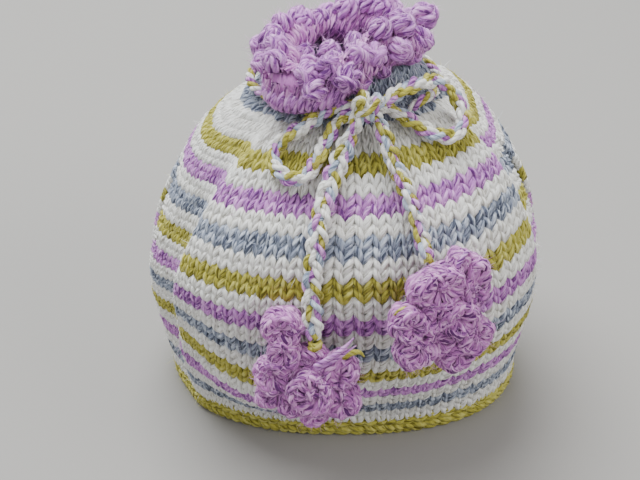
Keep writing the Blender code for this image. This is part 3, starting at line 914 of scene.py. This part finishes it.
def make_neck():
    """The grey stitches of the gathered neck and its funnel."""
    yarns = Yarns()
    columns = 52
    jitter = np.random.default_rng(21)
    rows = np.concatenate([np.arange(39.0, 43.0, 0.8), np.arange(43.2, 47.0, 0.95)])
    for row in rows:
        step = 0.8 if row < 43 else 0.95
        turn = -180 + 360 * (np.arange(columns) + 0.5 + jitter.normal(0, 0.06, columns)) / columns
        tone = jitter.random(columns)
        for side in (-1, 1):
            u = side * STITCH_U * 1.05 * 360 / columns
            turns = turn[:, None] + u
            rise = STITCH_V + jitter.normal(0, 0.05, (columns, 1))
            at = np.clip(row + step * rise, 36, RIM_ROW) + 0 * turns
            way = outward(turns, at)
            lift = STITCH_LIFT + 0.35 + jitter.normal(0, 0.25, (columns, 1))
            line = place(turns, at) + lift[..., None] * way
            right, left = (place(turn + sign * 180 / columns, at[:, 2]) for sign in (1, -1))
            spread = np.linalg.norm(right - left, axis=1)
            wide = np.clip(0.27 * spread, 0.8, 1.45)[:, None] * STITCH_FAT
            yarns.add(line, way, wide, 1.15 * STITCH_FAT + 0 * wide, sides=5, tone=tone)
    return yarns.build("stitches_neck", [yarn_material("wool_neck", "grey")]), yarns, "grey"


# An edge stitch, from the cloth's outside to its inside: columns in from the edge, rows, lift, thickness
EDGE_U = (0.75, 0.45, 0.1, -0.02, 0.1, 0.45)
EDGE_V = (0.25, 0.12, 0.0, -0.1, -0.16, -0.2)
EDGE_LIFT = (-1.7, -0.95, -0.9, -2.0, -3.2, -3.6)
EDGE_FAT = (0.8, 1.2, 1.35, 1.35, 1.2, 0.8)


def make_slit_edges():
    """The edge stitches of the two slits, which turn round the edge of the cloth."""
    yarns = Yarns()
    slots = {"white": 0, "grey": 1, "lilac": 2, "olive": 3}
    for side, first, last, _ in SLITS:
        for panel in (0, 1):
            edge = PANEL_COLUMNS if (side > 0) != (panel == 1) else 0
            inward = -1 if edge else 1
            for row in np.arange(first + 0.3, last, 0.62):
                u = np.array(EDGE_U)[None] * inward + edge
                v = row + np.array(EDGE_V)[None]
                lift = np.array(EDGE_LIFT)[None]
                turn = turn_at(panel, u, v)
                line = place(turn, v) + lift[..., None] * outward(turn, v)
                yarns.add(line, outward(turn, v), np.array(EDGE_FAT)[None], slot=slots[stripe(row)])
    materials = [yarn_material(f"edge_{wool}", wool) for wool in slots]
    return yarns.build("slit_edges", materials)


# ---------------------------------------------------------------- cords

# Half the distance between two yarns of a strand, and the length in which they wind round once
YARN_APART = 0.84
YARN_TWIST = 8.5
BAND_TWIST = 11.0
# Steps along the cords, in mm
PLAIT_STEP = 0.9
BAND_STEP = 1.2
KNOT_STEP = 0.8
CORD_SLOTS = ("white", "olive", "lilac", "silver")


def cord_materials(name):
    return [yarn_material(f"{name}_{wool}", wool, plies=2, pitch=3.4, bump=0.6) for wool in CORD_SLOTS]


def along_of(line):
    return np.concatenate([[0.0], np.cumsum(np.linalg.norm(np.diff(line, axis=0), axis=1))])


def values_at(at, along, *lines):
    """What each line has at a length along them."""
    return [np.stack([np.interp(at, along, v[:, i]) for i in range(3)], -1) for v in lines]


def sides_of(line, normal):
    tangent = unit(np.gradient(line, axis=0))
    side = unit(np.cross(tangent, normal))
    return side, np.cross(side, tangent)


def wind(yarns, line, normal, angle, apart, fat, slot, sides=8, drift=None):
    """A yarn that winds round a line, at the given angle at each of its points."""
    one = line + apart * heading(angle, *sides_of(line, normal))
    yarns.add(one, normal, fat, sides=sides, slot=slot, drift=drift)


def plait(yarns, line, normal, pairs, wide, thick, pitch, start, fat):
    """A flat plait of three strands, each of two yarns that wind round each other."""
    side, up = sides_of(line, normal)
    along = along_of(line)
    ends = np.clip(np.minimum(along + 1.2, along[-1] - along + 1.2) / 5.0, 0.25, 1.0)
    for k, pair in enumerate(pairs):
        a = 2 * np.pi * (along / pitch + k / 3.0) + start
        strand = line + (wide * ends * np.sin(a))[:, None] * side
        strand = strand + (thick * ends * np.sin(2 * a))[:, None] * up
        for m, slot in enumerate(pair):
            b = 2 * np.pi * along / YARN_TWIST + np.pi * m + k
            wind(yarns, strand, normal, b, YARN_APART, fat, slot, drift=7.0 * k + 3.0 * m)


def way_out(line):
    """The direction away from the middle of the cover at each point of a line round its outside."""
    return unit(unit(line - np.array([0.0, 0.0, 60.0])) * [1.0, 1.0, 0.6])


def route_line(route, step):
    """The centreline of a cord along its route, with the direction out of the cloth at each point."""
    line = smooth_line(route, step)
    return line, way_out(line)


def tucked(line, way, step):
    """The line with both its ends turned in through the cloth."""
    ends = []
    for at, beside in ((0, 2), (-1, -3)):
        on = unit(line[at] - line[beside])
        ends.append([line[at] + 2.4 * on - 5.6 * way[at], line[at] + 1.8 * on - 2.4 * way[at]])
    line = resample([*ends[0], *line[1:-1:3], *reversed(ends[1])], step)
    return line, way_out(line)


# name, route, the two yarns of each strand, half width, half thickness, length of a full pass, start, yarn
PLAITS = (
    ("tail_left", TAIL_LEFT, ((0, 0), (2, 3), (1, 0)), 2.3, 0.95, 20.0, 0.4, 1.12),
    ("tail_right", TAIL_RIGHT, ((0, 1), (3, 0), (2, 1)), 1.5, 1.2, 20.0, 2.0, 1.08),
    ("loop_left", LOOP_LEFT, ((0, 0), (2, 3), (1, 1)), 1.35, 0.95, 24.0, 1.0, 1.05),
    ("loop_right", LOOP_RIGHT, ((0, 0), (1, 1), (3, 2)), 1.35, 0.95, 24.0, 3.0, 1.05),
)


def make_cords():
    made = {}
    for name, route, pairs, wide, thick, pitch, start, fat in PLAITS:
        line, way = route_line(route, PLAIT_STEP)
        yarns = Yarns()
        plait(yarns, line, way, pairs, wide, thick, pitch, start, fat)
        cord = yarns.build(f"plait_{name}", cord_materials(name))
        settle(cord, name)
        made[name] = (cord, line, yarns)
    line, way = tucked(*route_line(BAND, BAND_STEP), BAND_STEP)
    yarns = Yarns()
    for k, slot in enumerate((0, 1, 2)):
        a = 2 * np.pi * (along_of(line) / BAND_TWIST + k / 3.0)
        wind(yarns, line, way, a, 1.05, 0.95, slot, sides=7, drift=float(k))
    cord = yarns.build("twist_tie_band", cord_materials("tie_band"))
    settle(cord, "tie_band")
    made["tie_band"] = (cord, line, yarns)
    return made


# shift of each wrap, its tilt in degrees, and its two yarns
WRAPS = (
    (-2.6, 14.0, (1, 1)),
    (0.2, -10.0, (0, 0)),
    (2.6, 18.0, (2, 3)),
)
# From the knot's middle, in mm: the curl at its top, and the strand that crosses its front
CURL = ((-3.2, -2.0, -0.5), (-4.2, -3.4, 2.4), (-3.0, -3.8, 4.6), (-1.2, -3.6, 4.4), (-1.0, -3.4, 2.6))
CROSSING = ((-5.4, 0.2, -4.4), (-2.6, -3.6, -1.4), (0.8, -4.6, 1.0), (4.6, -2.6, 3.6))
# route, which of its ends, the two yarns of each strand, start
BRIDGES = (
    (TAIL_LEFT, 0, ((0, 0), (2, 3), (1, 0)), 1.6),
    (TAIL_RIGHT, 0, ((0, 1), (3, 0), (2, 1)), 0.4),
    (LOOP_LEFT, 0, ((0, 0), (2, 3), (1, 1)), 2.0),
    (LOOP_LEFT, -1, ((1, 1), (0, 0), (2, 3)), 0.6),
    (LOOP_RIGHT, 0, ((0, 0), (1, 1), (3, 2)), 2.6),
    (LOOP_RIGHT, -1, ((1, 1), (3, 2), (0, 0)), 1.2),
)


def make_knot():
    """The bow's knot: the cord wraps round itself, a curl stands at its top, and short plaits join it
    to the tails and loops."""
    yarns = Yarns()
    middle = np.array(KNOT_AT)
    t = np.linspace(0, 1, 26)
    a = 2 * np.pi * t
    for shift, tilt, pair in WRAPS:
        c, s = np.cos(np.radians(tilt)), np.sin(np.radians(tilt))
        ring = np.stack([shift + 0 * a, -3.6 * np.cos(a), 4.6 * np.sin(a)], 1)
        x, y, z = ring.T
        turned = np.stack([x * c + z * s, y, z * c - x * s], 1)
        way = unit(turned + [1e-3, 0, 0])
        for m, slot in enumerate(pair):
            wind(yarns, middle + turned, way, 2 * np.pi * t * 3 + np.pi * m, 0.7, 1.0, slot)
    curl = resample(middle + np.array(CURL), KNOT_STEP)
    taper = 0.95 * np.clip(np.linspace(3.0, 0.6, len(curl)), 0, 1)
    for m, slot in enumerate((0, 1)):
        wind(yarns, curl, unit(curl - middle), np.linspace(0, 5.0, len(curl)) + np.pi * m, 0.65, taper, slot)
    across = resample(middle + np.array(CROSSING), KNOT_STEP)
    for m, slot in enumerate((0, 1)):
        b = np.linspace(0, 6.0, len(across)) + np.pi * m
        wind(yarns, across, np.array([0.0, -1.0, 0.2]), b, 0.65, 1.0, slot)
    for route, at, pairs, start in BRIDGES:
        line, ways = route_line(route, PLAIT_STEP)
        end, way = line[at], ways[at]
        bridge = resample([middle, 0.5 * (middle + end) + 1.2 * way, end - 0.4 * way], KNOT_STEP)
        if len(bridge) > 5:
            plait(yarns, bridge, way, pairs, 1.3, 0.9, 20.0, start, 1.02)
    knot = yarns.build("knot_wraps", cord_materials("knot"))
    settle(knot, "knot")
    return knot


# ---------------------------------------------------------------- frill


def ball(yarns, middle, way, size, slot, rings=6, sides=8):
    """A plain rounded core, hidden under the yarns that cover it."""
    t = np.linspace(-0.98, 0.98, rings)
    line = np.asarray(middle)[None] + size * t[:, None] * np.asarray(way)[None]
    fat = size * np.sqrt(1 - t * t) + 0.02
    other = unit(np.cross(way, [0.3, 0.5, 0.8]))
    yarns.add(line, other, fat, sides=sides, slot=slot)


def bobble(yarns, middle, way, size, spin, tone):
    """A popcorn bobble: loops of yarn gathered from its base to its top."""
    way = unit(np.asarray(way, float))
    one = unit(np.cross(way, [0.31, 0.52, 0.79]))
    two = np.cross(way, one)
    ball(yarns, middle, way, size * 0.80, 1)
    t = np.linspace(0, 1, 9)
    loops = 6
    yarn = 0.34 * size
    for k in range(loops):
        polar = np.radians(128.0 - 112.0 * t)
        turn = spin + 2 * np.pi * k / loops + 0.85 * t
        reach = size - 0.62 * yarn
        line = middle + reach * heading(polar, way, heading(turn, one, two))
        fat = yarn * (0.72 + 0.34 * np.sin(np.pi * t) ** 0.7)
        yarns.add(line, unit(line - middle), fat, sides=6, tone=tone)
    t = np.linspace(-1, 1, 9)
    for k in (0, 1):
        polar = np.radians(58.0) * t
        lift = size * (0.90 + 0.10 * k)
        line = middle + lift * heading(polar, way, heading(spin + 1.7 * k + 0.6 * t, one, two))
        fat = yarn * 0.80 * (1.06 - t**4 * 0.8)
        yarns.add(line, unit(line - middle), fat, sides=6, tone=tone)


def frill_frame(turn):
    reach, height, lean = frill_line(turn)
    s, c = np.sin(np.radians(turn)), np.cos(np.radians(turn))
    up = np.stack([np.sin(lean) * s, -np.sin(lean) * c, np.cos(lean)], -1)
    out = np.stack([np.cos(lean) * s, -np.cos(lean) * c, -np.sin(lean)], -1)
    middle = np.stack([reach * s, -reach * c, height], -1)
    return middle, out, up


# out, up, share of a step, size, way out, way up
TIERS = (
    (0.6, -3.4, 0.0, 4.0, 1.0, -0.3),
    (0.9, 3.6, 0.5, 4.5, 0.8, 0.7),
    (-6.2, 5.4, 0.0, 4.5, -0.2, 1.0),
)
BOBBLE_STEP = 11.6
# The rolled lip at the front left: its first and last turn, and the stretch behind it that has no bobbles
LIP = (-86.0, 2.0)
LIP_HOLLOW = (-58.0, -24.0)
# Bobbles that crowd into the mouth of the frill: x, y, z, size
INNER_BOBBLES = (
    (-15.0, -9.0, 156.5, 4.6),
    (-5.0, -7.5, 157.5, 4.4),
    (-17.0, 2.0, 155.5, 4.4),
    (-7.0, 3.0, 156.0, 4.6),
    (3.0, -1.0, 158.5, 4.4),
    (12.0, 1.0, 160.5, 4.4),
    (3.0, 9.0, 157.5, 4.2),
)


def make_lip(yarns, jitter):
    """The front of the edging rolls over here, so that its stitches show as ribs across a smooth roll."""
    turn = np.linspace(*LIP, 70)
    m, o, u = frill_frame(turn)
    line = m + 1.9 * o - 2.6 * u
    along = along_of(line)
    fat = 4.1 * (0.45 + 0.55 * np.clip(np.minimum(along, along[-1] - along) / 7.0, 0, 1))
    yarns.add(line, o, fat, fat, sides=12, slot=1)
    tangent = unit(np.gradient(line, axis=0))
    for at in np.arange(1.0, along[-1] - 0.5, 2.35):
        here, out, up, way = values_at(at, along, line, o, u, tangent)
        size = np.interp(at, along, fat) + jitter.normal(0, 0.12)
        for half in (-1, 1):
            t = np.linspace(0, 1, 9)
            a = np.radians((-118, -8)[half > 0] + 122.0 * t)
            ring = (size + 0.25) * heading(a, out, up)
            slide = half * 1.5 * (t - 0.5) + 0.5 * half
            yarns.add(here + ring + slide[:, None] * way, unit(ring), 1.45 * swell(t, 0.7, 0.36), sides=7)


def make_frill():
    yarns = Yarns()
    jitter = np.random.default_rng(31)
    make_lip(yarns, jitter)
    turn = np.linspace(-180, 180, 145)
    middle, out, up = frill_frame(turn)
    core = middle - 0.6 * up - FRILL_INWARD * out
    yarns.add(core, out, 4.6 + 0 * turn, 6.0 + 0 * turn, sides=12, slot=1)
    along = along_of(middle)
    for share in np.arange(0, 1, 1 / 64):
        here = np.interp(share * along[-1], along, turn)
        m, o, u = frill_frame(here)
        for face in (-1, 1):
            t = np.linspace(0, 1, 8)
            lean = jitter.normal(0, 1.0) + 1.6
            across = np.cross(o, u)
            bulge = face * 6.6 * np.sin(np.pi * (0.12 + 0.76 * t)) - FRILL_INWARD
            line = m + bulge[:, None] * o + (-6.2 + 11.0 * t)[:, None] * u
            line = line + (lean * (t - 0.5))[:, None] * across
            yarns.add(line, face * o, 1.35 * swell(t, 0.8, 0.25), sides=7, slot=1)
    count = int(round(along[-1] / BOBBLE_STEP))
    for tier, (out_by, up_by, shift, size, way_out, way_up) in enumerate(TIERS):
        for k in range(count):
            here = np.interp((k + shift) / count * along[-1], along, turn) + jitter.normal(0, 2.0)
            if (tier == 0 and LIP[0] < here < LIP[1]) or (tier == 1 and LIP_HOLLOW[0] < here < LIP_HOLLOW[1]):
                continue
            m, o, u = frill_frame(here)
            big = size * (1 + jitter.normal(0, 0.10))
            spot = m + (out_by + jitter.normal(0, 0.6)) * o + (up_by + jitter.normal(0, 1.3)) * u
            sunk = np.exp(-((wrapped(here + 145.0) / 38.0) ** 2))
            spot = spot - sunk * np.array([0.0, 1.6, 2.4])
            way = way_out * o + way_up * u + jitter.normal(0, 0.22, 3)
            bobble(yarns, spot, way, big, jitter.random() * 6.28, jitter.random())
    for x, y, z, size in INNER_BOBBLES:
        way = np.array([0.0, -0.25, 1.0]) + jitter.normal(0, 0.3, 3)
        bobble(yarns, np.array([x, y, z]), way, size, jitter.random() * 6.28, jitter.random())
    materials = [yarn_material("wool_frill", "lilac", pitch=6.0), yarn_material("wool_frill_core", "mauve")]
    frill_piece = yarns.build("frill_bobbles", materials)
    settle(frill_piece, "frill_edging")
    return frill_piece, yarns


# ---------------------------------------------------------------- flowers


def rotation(axis, degrees):
    a = np.radians(degrees)
    c, s = np.cos(a), np.sin(a)
    if axis == "x":
        return np.array([[1, 0, 0], [0, c, -s], [0, s, c]])
    if axis == "y":
        return np.array([[c, 0, s], [0, 1, 0], [-s, 0, c]])
    return np.array([[c, -s, 0], [s, c, 0], [0, 0, 1]])


def chain(yarns, line, normal, link_long, wide, fat, jitter, slot=0):
    """A crochet chain along a line: V after V, each leg tucked under the next."""
    along = along_of(line)
    count = max(2, int(round(along[-1] / link_long)))
    step = along[-1] / count
    side, up = sides_of(line, normal)
    t = np.linspace(0, 1, 7)
    first = np.arange(count)[:, None] * step
    rough = jitter.normal(0, 0.28, (count, 1))
    tone = jitter.random(count)
    for m in (-1, 1):
        shift = jitter.normal(0, 0.12, (count, 1)) * step
        s = np.clip(first + step * (-0.6 + 1.95 * t)[None] + shift, 0, along[-1])
        spots = values_at(s, along, line, side, up)
        across = m * wide * (0.10 + 0.80 * smooth(t))[None] * (1 + jitter.normal(0, 0.1, (count, 1)))
        rise = fat * (-1.0 + 1.25 * np.sin(np.pi * t) ** 0.7)[None] + rough
        one = spots[0] + across[..., None] * spots[1] + rise[..., None] * spots[2]
        size = fat * swell(t, 0.62, 0.42)[None] * (1 + jitter.normal(0, 0.06, (count, 1)))
        yarns.add(one, spots[2], size, sides=6, slot=slot, tone=tone)


# A petal's fat stitches, from the dimple to the rim: shares of its reach and of its thickness
POST_REACH = np.array((0.06, 0.22, 0.38, 0.54, 0.70, 0.84, 0.95, 0.98))
POST_DEPTH = np.array((0.25, 0.55, 0.78, 0.92, 0.98, 0.90, 0.55, 0.05))


def petal(yarns, middle, axes, half, towards, jitter):
    """A curled lump of crochet: fat stitches fan from a dimple to a raised rim, which a chain runs round."""
    wide, thick, tall = half
    base = np.arctan2(towards[0], towards[1])
    mean = np.sqrt(wide * tall)
    t = np.linspace(-0.95, 0.95, 7)
    fat = np.sqrt(1 - t * t)
    line = middle + (0.80 * tall * t)[:, None] * axes[:, 2]
    yarns.add(line, axes[:, 1], 0.80 * wide * fat, 0.70 * thick * fat, sides=10, slot=1)
    dimple = jitter.normal(0, 0.16, 2)

    def spot(reach, theta, depth):
        p = reach * np.sin(theta) + dimple[0] * (1 - reach)
        q = reach * np.cos(theta) + dimple[1] * (1 - reach)
        flat = middle + (p * wide)[:, None] * axes[:, 0] + (q * tall)[:, None] * axes[:, 2]
        return flat - (depth * thick)[:, None] * axes[:, 1]

    wave, phase = jitter.integers(2, 4), jitter.random() * 6.0
    for face in (1, -1):
        posts = max(5, int(round(2 * np.pi * mean * 0.62 / 3.0)))
        swirl = jitter.choice((-1, 1)) * np.radians(42.0)
        for k in range(posts):
            theta = base + 2 * np.pi * (k + 0.5 + jitter.normal(0, 0.12)) / posts
            t = np.linspace(0, 1, 8)
            depth = POST_DEPTH + 0.10 * np.sin(wave * theta + phase)
            line = spot(POST_REACH, theta + swirl * (t - 0.3), face * depth * (1.0 if face > 0 else 0.8))
            size = 1.35 * swell(t, 0.62, 0.45) * (1 + jitter.normal(0, 0.08))
            yarns.add(line, unit(line - middle), size, sides=6)
        a = np.linspace(0, 2 * np.pi, 28)
        theta = base + a * swirl / abs(swirl)
        reach = 0.86 + 0.05 * np.sin(wave * theta + phase)
        depth = face * (0.80 + 0.16 * np.sin(wave * theta + phase)) * (1.0 if face > 0 else 0.8)
        rim = spot(reach, theta, depth)
        chain(yarns, rim, unit(rim - middle), 3.4, 1.7, 1.18, jitter)
    a = np.linspace(0, 2 * np.pi, 28)
    rim = spot(0.98 + 0 * a, base + a, 0.05 * np.sin(3 * a + phase))
    chain(yarns, rim, unit(rim - middle), 3.6, 1.6, 1.2, jitter)
    if mean > 6.5:
        at = spot(np.array([0.15]), np.array([base + jitter.normal(0, 2.0)]), np.array([0.62]))[0]
        way = -axes[:, 1] + jitter.normal(0, 0.2, 3)
        bobble(yarns, at, way, 0.34 * mean, jitter.random() * 6.28, jitter.random())


def make_flower(name, at, petals, seed):
    yarns = Yarns()
    jitter = np.random.default_rng(seed)
    x, y, z, turn, lean = at
    face = rotation("z", turn) @ rotation("x", -lean)
    for right, up, out, wide, tall, thick, twist in petals:
        middle = np.array([x, y, z]) + face @ np.array([right, -out, up])
        axes = face @ rotation("y", -twist)
        way = np.array([right, up]) if np.hypot(right, up) > 2 else np.array([0.0, 1.0])
        a = np.radians(-twist)
        towards = (way[0] * np.cos(a) - way[1] * np.sin(a), way[0] * np.sin(a) + way[1] * np.cos(a))
        petal(yarns, middle, axes, (wide - 0.9, thick - 0.4, tall - 0.9), towards, jitter)
    materials = [
        yarn_material(f"wool_{name}", "mauve", pitch=6.0),
        yarn_material(f"wool_{name}_core", "mauve"),
    ]
    flower = yarns.build(name + "_crochet", materials)
    settle(flower, name)
    return flower, yarns


def make_yarn_ends(line):
    """The knot that ends the left plait, and the yarn ends that stick out of the flowers."""
    yarns = Yarns()
    last = line[-1]
    way = unit(line[-1] - line[-4])
    t = np.linspace(0, 1, 20)
    for k, slot in enumerate((1, 1, 1, 0)):
        a = 2 * np.pi * t + 1.3 * k
        centre = last + way * (1.6 + 1.25 * k)
        one, two = sides_of(np.stack([last, last + way]), np.array([0.0, -1.0, 0.0]))
        size = (1.5, 1.9, 1.7, 1.0)[k]
        ring = centre + size * heading(a, one[0], two[0]) + (0.9 * np.sin(a + k))[:, None] * way
        yarns.add(ring, unit(ring - centre), 1.05 + 0 * t, sides=7, slot=slot)
    for x, y, z, turn, lean, ends in YARN_ENDS:
        face = rotation("z", turn) @ rotation("x", -lean)
        for slot, fat, route in ends:
            spots = [np.array([x, y, z]) + face @ np.array([right, -out, up]) for right, up, out in route]
            path = resample(spots, 0.9)
            taper = fat * np.clip(np.linspace(2.2, 0.25, len(path)), 0, 1)
            yarns.add(path, np.array([0.0, -1.0, 0.3]), taper, sides=7, slot=slot)
    piece = yarns.build("yarn_ends", cord_materials("ends"))
    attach(piece, "root")
    return piece


# For each flower: its place, and the loose ends by wool, thickness and route across its face (right, up, out)
YARN_ENDS = (
    FLOWER_LEFT_AT
    + (
        (
            (2, 1.0, ((3.0, 5.5, 6.0), (8.0, 9.5, 6.5), (12.5, 13.0, 5.5), (16.5, 17.5, 4.0))),
            (2, 0.8, ((3.5, 4.5, 6.0), (9.0, 8.0, 6.0), (14.0, 12.0, 5.0), (17.5, 14.5, 4.0))),
            (1, 1.1, ((12.0, 7.0, 3.0), (15.0, 10.5, 3.5), (18.5, 11.5, 3.0), (20.5, 9.5, 2.5))),
        ),
    ),
    FLOWER_RIGHT_AT
    + (
        (
            (1, 1.1, ((-10.0, 6.0, 3.0), (-13.5, 8.5, 3.5), (-17.0, 8.0, 3.0), (-19.0, 6.0, 2.0))),
            (2, 0.9, ((5.0, 18.0, 3.5), (6.5, 22.0, 5.0), (9.5, 25.0, 4.5), (12.5, 24.0, 3.0))),
        ),
    ),
)


# ---------------------------------------------------------------- loose fibres


def fluff(name, sources, seed, width=0.12):
    """Fine fibres that stand off the wool. Each source is its yarns, a count and a length, and the wool
    of each slot."""
    jitter = np.random.default_rng(seed)
    points, quads, colours, count = [], [], [], 0
    for yarns, number, long, wools in sources:
        every = np.concatenate(yarns.points)
        pick = jitter.integers(0, len(every), number)
        spots = every[pick]
        out = unit(spots - np.array([0.0, 0.0, 70.0]))
        way = unit(out * 0.75 + jitter.normal(0, 0.65, (number, 3)))
        bend = unit(jitter.normal(0, 1, (number, 3)))
        length = long * (0.4 + jitter.random(number) * 0.9)
        t = np.linspace(0, 1, 4)
        line = spots[:, None] + (length[:, None] * t)[..., None] * way[:, None]
        line = line + (length[:, None] * 0.45 * t**2)[..., None] * bend[:, None]
        line[..., 2] = np.maximum(line[..., 2], 0.3)
        side = unit(np.cross(way, jitter.normal(0, 1, (number, 3))))
        half = width / 2 * (1 - 0.75 * t)
        low = line - half[None, :, None] * side[:, None]
        high = line + half[None, :, None] * side[:, None]
        strip = np.stack([low, high], 2).reshape(number, 8, 3)
        index = np.arange(number * 8).reshape(number, 8) + count
        for k in range(3):
            quads.append(index[:, [2 * k, 2 * k + 1, 2 * k + 3, 2 * k + 2]])
        points.append(strip.reshape(-1, 3))
        slots = np.concatenate(yarns.point_slot)[pick]
        table = np.array([linear(*WOOLS[wool][2]) for wool in wools])
        colours.append(np.repeat(table[slots], 8, axis=0))
        count += number * 8
    mesh = quick_mesh(name, in_metres(np.concatenate(points)), np.concatenate(quads))
    set_colours(mesh, np.concatenate(colours))
    mesh.materials.append(fluff_material(name + "_wool"))
    thing = link(name, mesh)
    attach(thing, "root")
    return thing


# ---------------------------------------------------------------- making

stage_scene()
cords = make_cords()
knot = make_knot()
yarn_ends = make_yarn_ends(cords["tail_left"][1])
flower_left, left_yarns = make_flower("flower_left", FLOWER_LEFT_AT, PETALS_LEFT, 41)
flower_right, right_yarns = make_flower("flower_right", FLOWER_RIGHT_AT, PETALS_RIGHT, 43)

cloth = make_cloth()
settle(cloth, "body")
knitted = make_stitches() + [make_hem(), make_neck()]
slit_edges = make_slit_edges()
for piece in [slit_edges] + [piece for piece, _, _ in knitted]:
    settle(piece)
frill_piece, frill_yarns = make_frill()

# How many fibres, and their length in mm
CLOTH_FIBRES = (1900, 3.0)
FRILL_FIBRES = (11000, 3.4)
FLOWER_FIBRES = (4200, 3.4)
CORD_FIBRES = (420, 2.4)
LILAC_SLOTS = ("lilac", "lilac")
fuzz_cloth = fluff("fibres_cloth", [(yarns, *CLOTH_FIBRES, (wool,)) for _, yarns, wool in knitted], 61)
sources = [(frill_yarns, *FRILL_FIBRES, LILAC_SLOTS)]
for flower_yarns in (left_yarns, right_yarns):
    sources.append((flower_yarns, *FLOWER_FIBRES, LILAC_SLOTS))
fluff("fibres_lilac", sources, 62)
fluff("fibres_cord", [(cords[row[0]][2], *CORD_FIBRES, CORD_SLOTS) for row in PLAITS], 63)

[piece for piece, _, _ in knitted] + [slit_edges, frill_piece, fuzz_cloth]
